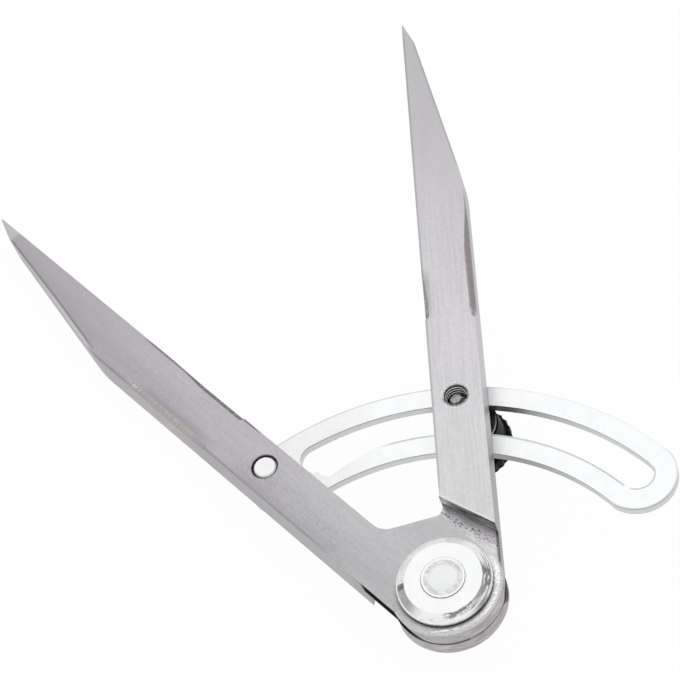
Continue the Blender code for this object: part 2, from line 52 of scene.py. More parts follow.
# The tool's frame, in millimetres, has the pivot's axis as Z and the right leg along Y
LEG_ANGLE = math.radians(40.3)
CLAMP_PLACE = (5.0, 40.8)
WASHER_FLAT = 7.34
ARC_CENTRE = (-4.19, -12.0)
ARC_RADIUS = 52.9
ARC_END_ANGLE = math.radians(39.0)
ARC_HALF_BAND = 7.5
ARC_TIP_RADIUS = 7.7
SLOT_HALF_WIDTH = 3.25
ARC_TOP = -3.72

# A leg's frame counts millimetres across it, less toward the outer edge, and along it from the
# pivot to the point
INNER_EDGE = -0.2
OUTER_EDGE = -10.2
OUTER_WEAR = OUTER_EDGE + 0.75    # how far in from the edge the wear reaches
HEAD_RADIUS = 10.2
CHEEK = 9.6                   # of the left leg, beside the lap
HOLE_PLACE = (-CLAMP_PLACE[0], CLAMP_PLACE[1])
PIN_PLACE = (-5.0, 45.8)
PIN_RADIUS = 2.35

# The slanting step at the end of the right leg's lap, by its two ends along the leg
STEP_INNER = 18.6
STEP_OUTER = 11.0

# The outer edge's run in to the point, by its two ends, and the small facet at its tip
TAPER_START = 94.1
POINT_ROOT = (-2.7, 133.5)
TIP_FACET = 132.9

# Hand-ground patch on the right leg's outer side and rubbed stripe on the left leg's outer edge
PATCH_START = 60.8
PATCH_END = 90.0
STRIPE_START = 62.5
STRIPE_END = 82.0
SCRATCH_SLANT = math.radians(24.0)

# Painted shadow, spindle-shaped, in the gap on the heads' round side: its angle, half its length,
# its height and its reach
SPINDLE_ANGLE = 1.46
SPINDLE_HALF_LENGTH = 0.27
SPINDLE_HEIGHT = -0.45
SPINDLE_REACH = 2.0

# Angles between which the painted shadow beside the left cheek, a dark wedge, widens
WEDGE_TIP = -0.38
WEDGE_FULL = -1.0

# Hammered seam round a rivet head, a closed section of (radius, height), in metres
RIM_SECTION = ((0.00411, 0.00535), (0.00411, 0.00555), (0.00422, 0.00560), (0.00435, 0.00560),
               (0.00435, 0.00535))
RIM_STEPS = 96

# Thread in the right leg's hole, and how far below the leg's front face it starts, in metres
LEG_FACE = 0.0037
THREAD_CREST = 0.00209
THREAD_ROOT = 0.00236
THREAD_FIRST = 0.0002
THREAD_STEPS = 48

# Camera in the tool's frame, lamp and floor in the scene's, in metres; the lens in millimetres
CAMERA_PLACE = (0.0586555, -0.2079451, 0.3651905)
CAMERA_TURN = (0.94533501, 0.30307401, 0.10624889, -0.05656)
CAMERA_LENS = 121.052
LAMP_PLACE = (-0.35, 0.35, 0.9)
LAMP_SIDE = 0.8
LAMP_POWER = 0.9
FLOOR_HEIGHT = -0.0001


def display(red, green, blue):
    """A colour as the screen shows it, turned into the light it stands for."""
    return tuple(v / 12.92 if v <= 0.04045 else ((v + 0.055) / 1.055) ** 2.4
                 for v in (red, green, blue))


def grey(level):
    """A grey as the screen shows it."""
    return display(level, level, level)


def joint_named(name):
    """A joint of the frame, whose absence is an error."""
    for joint in frame["joints"]:
        if joint["name"] == name:
            return joint
    raise RuntimeError("the frame has no joint " + name)


def tool_matrix():
    """Where the tool's own frame lies: its pivot axis and the clamp's place fix it."""
    pivot = joint_named("leg_pivot")
    clamp = joint_named("knob_turn")
    up = -Vector(pivot["axis"]).normalized()
    reach = Vector(clamp["pos_m"]) - Vector(pivot["pos_m"])
    reach = (reach - up * reach.dot(up)).normalized()
    across = up.cross(reach)
    lean = math.atan2(CLAMP_PLACE[0], CLAMP_PLACE[1])
    x_axis = reach * math.sin(lean) - across * math.cos(lean)
    y_axis = reach * math.cos(lean) + across * math.sin(lean)
    turn = Matrix((x_axis, y_axis, up)).transposed().to_4x4()
    return Matrix.Translation(Vector(pivot["pos_m"])) @ turn


TOOL = tool_matrix()
LEFT_LEG = TOOL @ Matrix.Rotation(LEG_ANGLE, 4, "Z")
RIGHT_LEG = TOOL @ Matrix.Diagonal((-1.0, 1.0, 1.0, 1.0))
TOOL_UP = TOOL.to_3x3() @ Vector((0.0, 0.0, 1.0))


# Sizes and colours that a user would change

class LegFinish(bpy.types.PropertyGroup):
    """Ground steel of both legs"""
    # Both legs are the same steel: the left leg's darker colour and the right leg's lighter one are
    # painted reflection, as the two mirror the light differently
    left_colour: FloatVectorProperty(
        name="Left leg", description="Steel of the left leg", subtype="COLOR", min=0.0, max=1.0,
        default=display(0.657, 0.657, 0.664))
    right_colour: FloatVectorProperty(
        name="Right leg", description="Steel of the right leg", subtype="COLOR", min=0.0, max=1.0,
        default=display(0.764, 0.763, 0.767))
    ground_colour: FloatVectorProperty(
        name="Ground flats", description="Darker steel of the hand-ground flats",
        subtype="COLOR", min=0.0, max=1.0, default=display(0.590, 0.562, 0.575))
    stripe_colour: FloatVectorProperty(
        name="Rubbed stripe", description="Brownish rubbed flat on the left leg's outer edge",
        subtype="COLOR", min=0.0, max=1.0, default=display(0.62, 0.59, 0.57))
    # Also painted as a highlight along the top edge of the lap's step
    bright_colour: FloatVectorProperty(
        name="Bare edges", description="Bright worn metal of edges and rims",
        subtype="COLOR", min=0.0, max=1.0, default=grey(0.82))
    grain_depth: FloatProperty(
        name="Grain depth", description="Strength of the lengthwise grain's relief",
        default=0.12, min=0.0, max=1.0)
    roughness: FloatProperty(
        name="Roughness", description="Mean roughness of the ground steel",
        default=0.42, min=0.0, max=1.0)


class PlatingFinish(bpy.types.PropertyGroup):
    """Plating of the pivot, the arc and its pin"""
    arc_colour: FloatVectorProperty(
        name="Arc", description="Plating of the slotted arc", subtype="COLOR", min=0.0, max=1.0,
        default=display(0.890, 0.898, 0.902))
    washer_colour: FloatVectorProperty(
        name="Pivot washers", description="Plating of the pivot washers", subtype="COLOR",
        min=0.0, max=1.0, default=display(0.868, 0.870, 0.871))
    rivet_colour: FloatVectorProperty(
        name="Pivot rivet", description="Plating of the hammered rivet", subtype="COLOR",
        min=0.0, max=1.0, default=display(0.850, 0.853, 0.858))
    pin_colour: FloatVectorProperty(
        name="Rivet pin", description="Bright end of the arc's rivet pin", subtype="COLOR",
        min=0.0, max=1.0, default=display(0.848, 0.845, 0.849))


class ClampFinish(bpy.types.PropertyGroup):
    """Screw, knob and thread of the clamp"""
    knob_colour: FloatVectorProperty(
        name="Knob", description="Black plastic of the knob", subtype="COLOR", min=0.0, max=1.0,
        default=(0.010, 0.010, 0.011))
    screw_colour: FloatVectorProperty(
        name="Screw", description="Steel of the clamping screw", subtype="COLOR", min=0.0,
        max=1.0, default=display(0.62, 0.625, 0.625))
    thread_pitch: FloatProperty(
        name="Thread pitch", description="Pitch of the thread in the right leg's hole",
        default=0.0008, min=0.0002, max=0.002, unit="LENGTH")
    thread_turns: IntProperty(
        name="Thread turns", description="Turns of thread that show above the screw",
        default=4, min=1, max=6)


class StageLook(bpy.types.PropertyGroup):
    """Floor, backdrop and light"""
    floor_size: FloatProperty(
        name="Floor", description="Side of the square floor", default=6.0, min=0.5, unit="LENGTH")
    backdrop: FloatVectorProperty(
        name="Backdrop", description="Colour of floor and backdrop", subtype="COLOR", min=0.0,
        max=1.0, default=(1.0, 1.0, 1.0))
    shadow_share: FloatProperty(
        name="Shadow", description="How much of the object's shadow the floor keeps",
        default=0.03, min=0.0, max=1.0)
    fill_level: FloatProperty(
        name="Fill", description="Level of the light from all round", default=0.80, min=0.0)


# Material graphs

# Colour sockets of the Mix node, which share their names with its other sockets
MIX_UNDER = 6
MIX_OVER = 7
MIX_RESULT = 2


class Finish:
    """A material's graph, built from the surface's own coordinates."""

    def __init__(self, name, colour, roughness, metallic):
        self.material = bpy.data.materials.new(name)
        self.material.use_nodes = True
        self.tree = self.material.node_tree
        self.coordinates = self.tree.nodes.new("ShaderNodeTexCoord")
        self.shader = self.tree.nodes["Principled BSDF"]
        self.shader.inputs["Base Color"].default_value = (*colour[:3], 1.0)
        self.shader.inputs["Roughness"].default_value = roughness
        self.shader.inputs["Metallic"].default_value = metallic
        plain = self.tree.nodes.new("ShaderNodeRGB")
        plain.outputs[0].default_value = (*colour[:3], 1.0)
        self.shown = plain.outputs[0]
        self.rough = roughness

    def put(self, socket, value):
        """Links a value that varies, or sets a plain one."""
        if hasattr(value, "links"):
            self.tree.links.new(value, socket)
        else:
            socket.default_value = value

    def calculate(self, operation, first, second=0.0):
        """One sum of two values, or of one."""
        node = self.tree.nodes.new("ShaderNodeMath")
        node.operation = operation
        for socket, value in zip(node.inputs, (first, second)):
            self.put(socket, value)
        return node.outputs[0]

    def add(self, first, *others):
        for other in others:
            first = self.calculate("ADD", first, other)
        return first

    def times(self, first, *others):
        for other in others:
            first = self.calculate("MULTIPLY", first, other)
        return first

    def minus(self, first, second):
        return self.calculate("SUBTRACT", first, second)

    def turned_axes(self, x, y, angle):
        """Two coordinates turned in their plane by an angle."""
        return (self.add(self.times(x, math.cos(angle)), self.times(y, math.sin(angle))),
                self.add(self.times(x, -math.sin(angle)), self.times(y, math.cos(angle))))

    def around(self, x, y, centre=(0.0, 0.0)):
        """Distance from a centre, and the angle round it counted from -Y."""
        x = self.add(x, -centre[0])
        y = self.add(y, -centre[1])
        radius = self.calculate("SQRT", self.add(self.times(x, x), self.times(y, y)))
        return radius, self.calculate("ARCTAN2", x, self.times(y, -1.0))

    def step(self, value, low, high, out_low=0.0, out_high=1.0):
        """Smooth step of a value from one range to another."""
        node = self.tree.nodes.new("ShaderNodeMapRange")
        node.interpolation_type = "SMOOTHSTEP"
        self.put(node.inputs["Value"], value)
        node.inputs["From Min"].default_value = low
        node.inputs["From Max"].default_value = high
        node.inputs["To Min"].default_value = out_low
        node.inputs["To Max"].default_value = out_high
        return node.outputs["Result"]

    def band(self, value, low, high, soft):
        """One inside a range of the value, fading out over the soft width."""
        return self.times(self.step(value, low - soft, low + soft),
                          self.step(value, high - soft, high + soft, 1.0, 0.0))

    def coordinate_along(self, kind, direction):
        """The surface's place or its normal, measured along a direction."""
        node = self.tree.nodes.new("ShaderNodeVectorMath")
        node.operation = "DOT_PRODUCT"
        self.put(node.inputs[0], self.coordinates.outputs[kind])
        node.inputs[1].default_value = direction
        return node.outputs["Value"]

    def place_in(self, matrix):
        """The surface point in a frame of the tool, in millimetres."""
        inverse = matrix.inverted()
        return [self.add(self.coordinate_along("Object", inverse[row].xyz * MILLIMETRES),
                         inverse[row].w * MILLIMETRES) for row in range(3)]

    def facing(self, direction):
        """How far the surface faces a direction."""
        return self.coordinate_along("Normal", direction)

    def noise(self, place, scale, detail=3.0, rough=0.6):
        """Noise at a place that is given by its coordinates."""
        joined = self.tree.nodes.new("ShaderNodeCombineXYZ")
        for socket, value in zip(joined.inputs, place):
            self.put(socket, value)
        node = self.tree.nodes.new("ShaderNodeTexNoise")
        self.put(node.inputs["Vector"], joined.outputs[0])
        node.inputs["Scale"].default_value = scale
        node.inputs["Detail"].default_value = detail
        node.inputs["Roughness"].default_value = rough
        return node.outputs["Fac"]

    def streaks(self, *axes, detail=3.0, rough=0.6):
        """Noise drawn out along its axes, each of them a coordinate and its scale."""
        return self.noise([self.times(*axis) for axis in axes], 1.0, detail, rough)

    def mark(self, colour, *masks):
        """Lays a colour over what is there, where all the masks are one."""
        node = self.tree.nodes.new("ShaderNodeMix")
        node.data_type = "RGBA"
        self.put(node.inputs["Factor"], self.times(*masks))
        self.put(node.inputs[MIX_UNDER], self.shown)
        self.put(node.inputs[MIX_OVER], (*colour[:3], 1.0))
        self.shown = node.outputs[MIX_RESULT]

    def shade(self, amount):
        """Makes what is there lighter or darker by a factor that varies."""
        node = self.tree.nodes.new("ShaderNodeVectorMath")
        node.operation = "SCALE"
        self.put(node.inputs[0], self.shown)
        self.put(node.inputs["Scale"], amount)
        self.shown = node.outputs[0]

    def relief(self, height, strength, distance):
        """Fine relief in the finish, over a distance in metres."""
        node = self.tree.nodes.new("ShaderNodeBump")
        node.inputs["Strength"].default_value = strength
        node.inputs["Distance"].default_value = distance
        self.put(node.inputs["Height"], height)
        self.put(self.shader.inputs["Normal"], node.outputs["Normal"])

    def finish(self):
        """The material, once its colour and roughness are linked."""
        self.put(self.shader.inputs["Base Color"], self.shown)
        self.put(self.shader.inputs["Roughness"], self.rough)
        return self.material


def dress(node_name, material):
    """Gives a CAD node its finish."""
    mesh = frame["nodes"][node_name].data
    mesh.materials.clear()
    mesh.materials.append(material)
    for face in mesh.polygons:
        face.material_index = 0


# Ground steel of the legs

class LegSteel(Finish):
    """Ground steel of a leg, with marks placed along and across it in millimetres.

    The point's shade and cast change the tone and the colour toward the point, and the inner
    light changes the tone of the inner half.
    """

    METALLIC = 0.92

    def __init__(self, name, colour, looks, leg, point_shade, point_cast, inner_light):
        super().__init__(name, colour, looks.roughness, self.METALLIC)
        self.shader.inputs["Specular IOR Level"].default_value = 0.0
        self.looks = looks
        self.across, self.along, self.height = self.place_in(leg)
        self.facing_up = self.facing(TOOL_UP)
        self.facing_in = self.facing(leg.to_3x3() @ Vector((1.0, 0.0, 0.0)))
        self.on_face = self.step(self.facing_up, 0.90, 0.97)
        self.on_bevel = self.band(self.facing_up, 0.45, 0.93, 0.04)
        self.on_side = self.step(self.facing_up, 0.30, 0.10)
        self.outward = self.step(self.facing_in, -0.5, -0.8)
        self.lines = self.streaks((self.across, 2.2), (self.along, 0.10), (self.height, 2.2),
                                  detail=4.0, rough=0.7)
        self.grit = self.noise((self.across, self.along, self.height), 2.0, 3.0, 0.7)
        self.depth = self.lines
        self.dull = 0.0
        cast = [value * share for value, share in zip(colour, point_cast)]
        self.mark(cast, self.step(self.along, 20.0, 60.0))
        self.shade(self.tone(point_shade, inner_light))

    def tone(self, point_shade, inner_light):
        """How light the steel is, by its grain, its clouds and the place on the leg."""
        grain = self.add(self.step(self.lines, 0.25, 0.75, -0.12, 0.12),
                         self.step(self.grit, 0.3, 0.7, -0.06, 0.06))
        cloud = self.streaks((self.across, 0.25), (self.along, 0.05), (self.height, 1.0),
                             detail=2.0, rough=0.5)
        return self.add(self.times(grain, self.step(self.along, 70.0, 105.0, 1.0, 0.35)), 1.0,
                        self.step(cloud, 0.3, 0.7, -0.02, 0.02),
                        self.step(self.along, 45.0, 135.0, 0.0, point_shade),
                        self.step(self.across, -7.5, -2.0, 0.0, inner_light))

    def matt_mark(self, colour, *masks):
        """A mark that mirrors nothing, so that it stays dark from low down too."""
        mask = self.times(*masks)
        self.mark(colour, mask)
        self.dull = self.add(self.dull, mask)

    def stray_scratches(self, angle, share):
        """Light scratches at an angle to the leg, few and short."""
        run, side = self.turned_axes(self.along, self.across, angle)
        field = self.streaks((side, 5.5), (run, 0.45), detail=2.0, rough=0.5)
        lines = self.times(self.step(field, 0.64, 0.72), self.on_face)
        self.mark(self.looks.bright_colour, lines, share)
        self.depth = self.add(self.depth, self.times(lines, -0.5))

    def grinding(self, over):
        """Hand-grinding marks that run across the leg, over its face or its side."""
        return self.step(self.streaks((self.along, 2.4), (over, 0.6)), 0.38, 0.55, 0.55, 1.0)

    def ground_flat(self, colour, inner):
        """The hand-ground flat on the inner or the outer edge."""
        way = 1.0 if inner else -1.0
        inside = 1.0 if inner else 0.0
        self.mark(colour, self.on_bevel, self.step(self.times(self.facing_in, way), 0.2, 0.4),
                  self.step(self.along, 40.0, 45.0), self.grinding(self.across),
                  self.step(self.across, OUTER_WEAR, OUTER_EDGE + 0.45, inside, 1.0))

    def inner_edge_line(self, start, end, share):
        """The rounded inner edge, which mirrors the dark beside it."""
        self.mark(display(0.42, 0.42, 0.43), self.on_face, share,
                  self.band(self.across, INNER_EDGE - 0.40, INNER_EDGE + 0.3, 0.2),
                  self.band(self.along, start, end, 2.0))

    def inside_outer_edge(self):
        """Distance in from the outer edge, which runs in to the point at its end."""
        lean = math.atan2(POINT_ROOT[0] - OUTER_EDGE, POINT_ROOT[1] - TAPER_START)
        inside = self.add(self.across, -OUTER_EDGE)
        from_taper = self.add(self.times(inside, math.cos(lean)),
                              self.times(self.add(self.along, -TAPER_START), -math.sin(lean)))
        return self.calculate("MINIMUM", from_taper, inside)

    def round_side(self, radius, angle):
        """Streaks round the side of the head, and a painted shadow, spindle-shaped, at its right in
        the gap between the two heads.
        """
        bands = self.streaks((angle, 2.5), (self.height, 1.5), rough=0.7)
        round_wall = self.times(self.step(radius, HEAD_RADIUS, HEAD_RADIUS + 0.3), self.on_side)
        side = self.times(round_wall, self.step(self.along, 8.0, 5.0))
        self.mark(display(0.70, 0.68, 0.69), side)
        self.mark(display(0.52, 0.50, 0.51), side, self.step(bands, 0.52, 0.62), 0.55)
        self.mark(display(0.86, 0.84, 0.85), side, self.step(bands, 0.47, 0.38), 0.55)
        # Painted shadow where the two heads meet, spindle-shaped
        spread = self.times(self.add(angle, -SPINDLE_ANGLE), 1.0 / SPINDLE_HALF_LENGTH)
        reach = self.add(self.times(spread, spread, -1.0), 1.0)
        away = self.calculate("ABSOLUTE", self.add(self.height, -SPINDLE_HEIGHT))
        spindle = self.step(self.minus(self.times(reach, SPINDLE_REACH), away), -0.5, 0.6)
        self.matt_mark(display(0.20, 0.19, 0.20), round_wall, spindle,
                       self.step(bands, 0.40, 0.60, 0.60, 1.0))

    def finish(self):
        self.rough = self.add(self.step(self.lines, 0.2, 0.8, -0.08, 0.08), self.looks.roughness)
        self.relief(self.depth, self.looks.grain_depth, 0.00005)
        self.put(self.shader.inputs["Metallic"],
                 self.step(self.dull, 0.0, 1.0, self.METALLIC, 0.0))
        return super().finish()


def mark_right_edges(steel):
    """The right leg's inner edge, its run in to the point, and painted shade on the face beside the
    arc.
    """
    steel.inner_edge_line(20.0, 137.0, 0.35)
    steel.mark(display(0.55, 0.54, 0.55), steel.on_face,
               steel.step(steel.inside_outer_edge(), 0.45, 0.15),
               steel.step(steel.along, 96.0, 100.0), 0.5)
    # Painted shade on the face along the inner edge
    steel.mark(display(0.56, 0.55, 0.55), steel.on_face, steel.band(steel.across, -1.6, 0.3, 0.7),
               steel.band(steel.along, 61.0, 71.0, 2.5), 0.55)


def mark_outer_side(steel):
    """The right leg's outer side: ground in a patch that rises toward the point, dull below."""
    low_edge = steel.step(steel.along, 84.0, PATCH_END + 0.5, 0.5, 3.0)
    steel.matt_mark(steel.looks.ground_colour, steel.outward,
                    steel.band(steel.along, PATCH_START, PATCH_END, 0.6),
                    steel.step(steel.minus(steel.height, low_edge), -0.5, 0.5),
                    steel.grinding(steel.height))
    steel.mark(display(0.56, 0.55, 0.56), steel.outward, steel.step(steel.along, 36.0, 26.0), 0.6)


def mark_step(steel, floor):
    """The milled floor of the right leg's lap, with painted shadow along the foot of the slanting
    step at its end, painted shade on the step's wall and a painted highlight along its top edge.
    """
    lean = math.atan2(STEP_INNER - STEP_OUTER, INNER_EDGE - OUTER_EDGE)
    run, short = steel.turned_axes(steel.across, steel.along, lean)
    below = steel.minus(STEP_INNER * math.cos(lean) - INNER_EDGE * math.sin(lean), short)

    brushed = steel.streaks((run, 0.35), (below, 3.0))
    pits = steel.streaks((run, 1.6), (below, 3.4), detail=2.0)
    steel.mark(display(0.83, 0.82, 0.83), floor)
    steel.mark(display(0.66, 0.65, 0.66), floor, steel.step(brushed, 0.45, 0.60), 0.6)
    # Painted shadow on the floor along the foot of the step
    steel.mark(display(0.34, 0.34, 0.35), floor, steel.step(below, 1.0, 0.1), 0.25)
    steel.mark(display(0.30, 0.30, 0.31), floor,
               steel.step(steel.across, OUTER_WEAR, OUTER_EDGE + 0.35), 0.8)
    steel.mark(display(0.22, 0.21, 0.22), floor, steel.band(below, 0.9, 2.7, 0.5),
               steel.step(pits, 0.56, 0.60), 0.9)

    # The step's wall painted dark as shade, broken by milling streaks
    wall = steel.times(steel.band(below, -0.35, 0.35, 0.1), steel.step(steel.facing_in, 0.0, 0.3))
    milled = steel.streaks((run, 0.12), (steel.height, 1.7), rough=0.7)
    steel.mark(display(0.25, 0.25, 0.26), wall, steel.on_side,
               steel.step(milled, 0.42, 0.56, 1.0, 0.0))
    # Painted highlight along the step's top edge
    steel.mark(steel.looks.bright_colour, steel.on_face, steel.band(below, -0.45, 0.1, 0.1),
               steel.step(steel.height, 3.0, 3.5), 0.7)


def mark_hole_rim(steel):
    """The threaded hole's rim: dark inside, a painted shadow making it darkest at the pivot's side,
    and worn bright round.
    """
    rim, _ = steel.around(steel.across, steel.along, HOLE_PLACE)
    steel.mark(display(0.56, 0.55, 0.56), steel.on_face, steel.band(rim, 2.3, 2.65, 0.1),
               steel.step(steel.grit, 0.45, 0.58, 0.1, 0.9))
    # Painted shadow inside the rim at the pivot's side
    steel.mark(display(0.40, 0.39, 0.40), steel.on_face, steel.band(rim, 2.3, 2.75, 0.08),
               steel.step(steel.along, HOLE_PLACE[1] + 0.3, HOLE_PLACE[1] - 0.9),
               steel.step(steel.grit, 0.35, 0.5), 0.85)
    steel.mark(steel.looks.bright_colour, steel.on_face, steel.band(rim, 2.65, 3.1, 0.15),
               steel.step(steel.grit, 0.50, 0.60))


def right_leg_steel(looks):
    """The lighter leg: milled step and recess at its lap, worn rim round its hole."""
    steel = LegSteel("ground_steel_right", looks.right_colour, looks, RIGHT_LEG,
                     point_shade=-0.19, point_cast=(1.0, 0.975, 1.005), inner_light=0.0)
    steel.stray_scratches(math.radians(8.0), 0.25)
    steel.ground_flat(looks.ground_colour, True)
    steel.ground_flat(looks.ground_colour, False)
    mark_right_edges(steel)
    mark_outer_side(steel)
    floor = steel.times(steel.band(steel.height, -0.6, 0.6, 0.1), steel.on_face)
    mark_step(steel, floor)
    mark_hole_rim(steel)
    tool_x, tool_y, _ = steel.place_in(TOOL)
    steel.round_side(*steel.around(tool_x, tool_y))
    # Painted shadow on the lap's floor along the foot of the left leg's cheek
    left_across, _, _ = steel.place_in(LEFT_LEG)
    steel.mark(display(0.40, 0.40, 0.41), floor,
               steel.band(left_across, CHEEK - 0.1, CHEEK + 0.4, 0.12), 0.5)
    return steel.finish()


def mark_tapered_bevel(steel):
    """The left leg's fine bevel beside its taper, with painted shade and a dark line inside it, and
    the tip's facet.
    """
    bevel = steel.step(steel.along, 134.0, 108.0, 0.05, 0.50)
    past = steel.minus(steel.inside_outer_edge(), bevel)
    tapered = steel.times(steel.on_face, steel.band(steel.along, 97.0, POINT_ROOT[1], 2.0))
    # Painted shade on the face inside the bevel
    steel.mark(display(0.60, 0.595, 0.605), tapered, steel.step(past, 3.5, 0.3), 0.5)
    steel.mark(display(0.46, 0.45, 0.46), tapered, steel.band(past, 0.05, 0.40, 0.15), 0.8)
    steel.mark(grey(0.70), tapered, steel.step(past, 0.05, -0.15))
    steel.mark(display(0.72, 0.715, 0.725), steel.on_face,
               steel.step(steel.along, TIP_FACET, TIP_FACET + 0.7), 0.7)


def mark_rubbed_stripe(steel):
    """The brownish stripe rubbed on the left leg's outer edge, with painted shade beside it, along
    the outer edge and at the stripe's end nearer the head.
    """
    # Painted shade on the face beside the stripe
    steel.mark(display(0.52, 0.53, 0.55), steel.band(steel.across, -9.3, -7.9, 0.7),
               steel.band(steel.along, 60.0, 80.0, 4.0), steel.on_face, 0.6)
    # Painted shade along the rounded outer edge
    steel.mark(display(0.46, 0.45, 0.46), steel.on_face,
               steel.step(steel.across, OUTER_WEAR, OUTER_EDGE + 0.25),
               steel.step(steel.along, 20.0, 28.0), 0.55)
    slanted = steel.add(steel.along, steel.times(steel.across, 0.5))
    ticks = steel.streaks((slanted, 2.6), (steel.across, 0.3), detail=2.0, rough=0.5)
    steel.mark(steel.looks.stripe_colour, steel.band(steel.across, -10.3, -9.0, 0.2),
               steel.band(steel.along, STRIPE_START, STRIPE_END, 1.5), steel.on_face)
    steel.mark(display(0.78, 0.75, 0.73), steel.band(steel.across, -10.6, -9.15, 0.2),
               steel.band(steel.along, STRIPE_START, STRIPE_END + 1.0, 1.5),
               steel.step(ticks, 0.48, 0.58), 0.8)
    # Painted shade where the stripe runs out
    steel.mark(display(0.36, 0.35, 0.35), steel.band(steel.across, -10.1, -9.3, 0.2),
               steel.band(steel.along, 58.8, 61.6, 0.6), steel.on_face, 0.6)


def mark_head_scratches(steel):
    """Hatched scratches and darker steel between the left leg's head and its rivet pin."""
    near_head = steel.times(steel.band(steel.along, 19.0, 50.0, 5.0), steel.on_face)
    steel.mark(display(0.56, 0.55, 0.565), near_head, steel.step(steel.across, -7.0, -9.4), 0.35)
    run, side = steel.turned_axes(steel.along, steel.across, SCRATCH_SLANT)
    hatch = steel.streaks((side, 6.5), (run, 0.50), rough=0.65)
    steel.mark(display(0.46, 0.45, 0.47), steel.step(hatch, 0.50, 0.66), near_head,
               steel.band(steel.across, -10.0, -5.0, 1.6), 0.40)


def mark_pin_ring(steel):
    """Painted shade of the gap round the end of the arc's rivet pin."""
    ring, _ = steel.around(steel.across, steel.along, PIN_PLACE)
    steel.mark(display(0.36, 0.35, 0.36), steel.on_face, 0.6,
               steel.step(ring, PIN_RADIUS + 0.55, PIN_RADIUS + 0.35))


def mark_head_wear_and_shadow(steel, radius, angle, speckle):
    """The left head's front: bright and speckled in a crescent below the washer, with the washer's
    painted shadow beside it, and worn bright round its edge.
    """
    crescent = steel.times(steel.step(radius, 8.9, 9.5), steel.band(angle, -0.9, 2.15, 0.25),
                           steel.on_face)
    steel.mark(steel.looks.bright_colour, crescent, steel.step(angle, -0.2, 0.9, 0.25, 1.0),
               steel.step(speckle, 0.36, 0.56, 0.6, 1.0))
    steel.mark(display(0.93, 0.92, 0.93), crescent, steel.band(angle, 0.7, 1.9, 0.3),
               steel.step(speckle, 0.44, 0.54))
    rays = steel.streaks((angle, 3.0), (radius, 1.6), detail=4.0, rough=0.7)
    steel.mark(display(0.95, 0.94, 0.94), crescent, steel.band(angle, -0.4, 1.2, 0.3),
               steel.step(rays, 0.54, 0.62), 0.9)
    # Painted shadow of the washer on the head's face
    steel.mark(display(0.30, 0.30, 0.31), steel.on_face, steel.step(radius, 10.0, 9.0),
               steel.band(angle, -1.5, 1.3, 0.5), 0.7)
    steel.mark(steel.looks.bright_colour, steel.band(radius, HEAD_RADIUS - 0.15, 11.0, 0.1),
               steel.on_bevel, steel.step(speckle, 0.40, 0.55, 0.5, 1.0))


def mark_cheek_wedge(steel, radius, angle):
    """The painted shadow on the left cheek's side, a dark wedge which widens from a fine line."""
    top = steel.step(angle, WEDGE_TIP, WEDGE_FULL, 0.4, 3.3)
    low = steel.step(angle, WEDGE_TIP, WEDGE_FULL, 0.2, 0.5)
    steel.matt_mark(display(0.13, 0.12, 0.13), steel.on_side, steel.step(radius, 9.5, 9.7),
                    steel.step(steel.minus(top, steel.height), -0.1, 0.2),
                    steel.step(steel.minus(steel.height, low), -0.2, 0.1),
                    steel.step(steel.across, -4.0, -4.3), steel.step(steel.along, 13.5, 11.5))


def left_leg_steel(looks):
    """The darker leg: rubbed outer edge, hatched scratches, bright worn rim round its head."""
    steel = LegSteel("ground_steel_left", looks.left_colour, looks, LEFT_LEG,
                     point_shade=-0.15, point_cast=(1.0, 0.94, 0.995), inner_light=0.09)
    steel.stray_scratches(SCRATCH_SLANT, 0.35)
    steel.stray_scratches(math.radians(-38.0), 0.20)
    steel.ground_flat(display(0.44, 0.43, 0.43), True)
    steel.ground_flat(looks.stripe_colour, False)
    steel.inner_edge_line(53.0, 88.0, 0.9)
    mark_tapered_bevel(steel)
    mark_rubbed_stripe(steel)
    mark_head_scratches(steel)
    mark_pin_ring(steel)

    tool_x, tool_y, _ = steel.place_in(TOOL)
    radius, angle = steel.around(tool_x, tool_y)
    speckle = steel.noise((tool_x, tool_y, steel.height), 2.6, 4.0, 0.7)
    mark_head_wear_and_shadow(steel, radius, angle, speckle)
    steel.round_side(radius, angle)
    steel.mark(display(0.70, 0.69, 0.70), steel.outward, steel.step(steel.along, 14.0, 18.0), 0.6)
    mark_cheek_wedge(steel, radius, angle)
    return steel.finish()


# Plating of the pivot, the arc and its pin

class Zinc(Finish):
    """Bright plating with a fine frosted mottle."""

    def __init__(self, name, colour, roughness, frost_scale, mottle):
        super().__init__(name, colour, roughness, 0.85)
        self.place = self.place_in(TOOL)
        frost = self.noise(self.place, frost_scale, 4.0, 0.65)
        cloud = self.noise(self.place, frost_scale * 0.18, 2.0, 0.5)
        self.shade(self.add(self.step(frost, 0.3, 0.7, -mottle, mottle),
                            self.step(cloud, 0.3, 0.7, -mottle, mottle * 0.6), 1.0))
        self.rough = self.add(self.step(frost, 0.3, 0.7, -0.06, 0.06), roughness)
        self.relief(frost, 0.15, 0.00004)


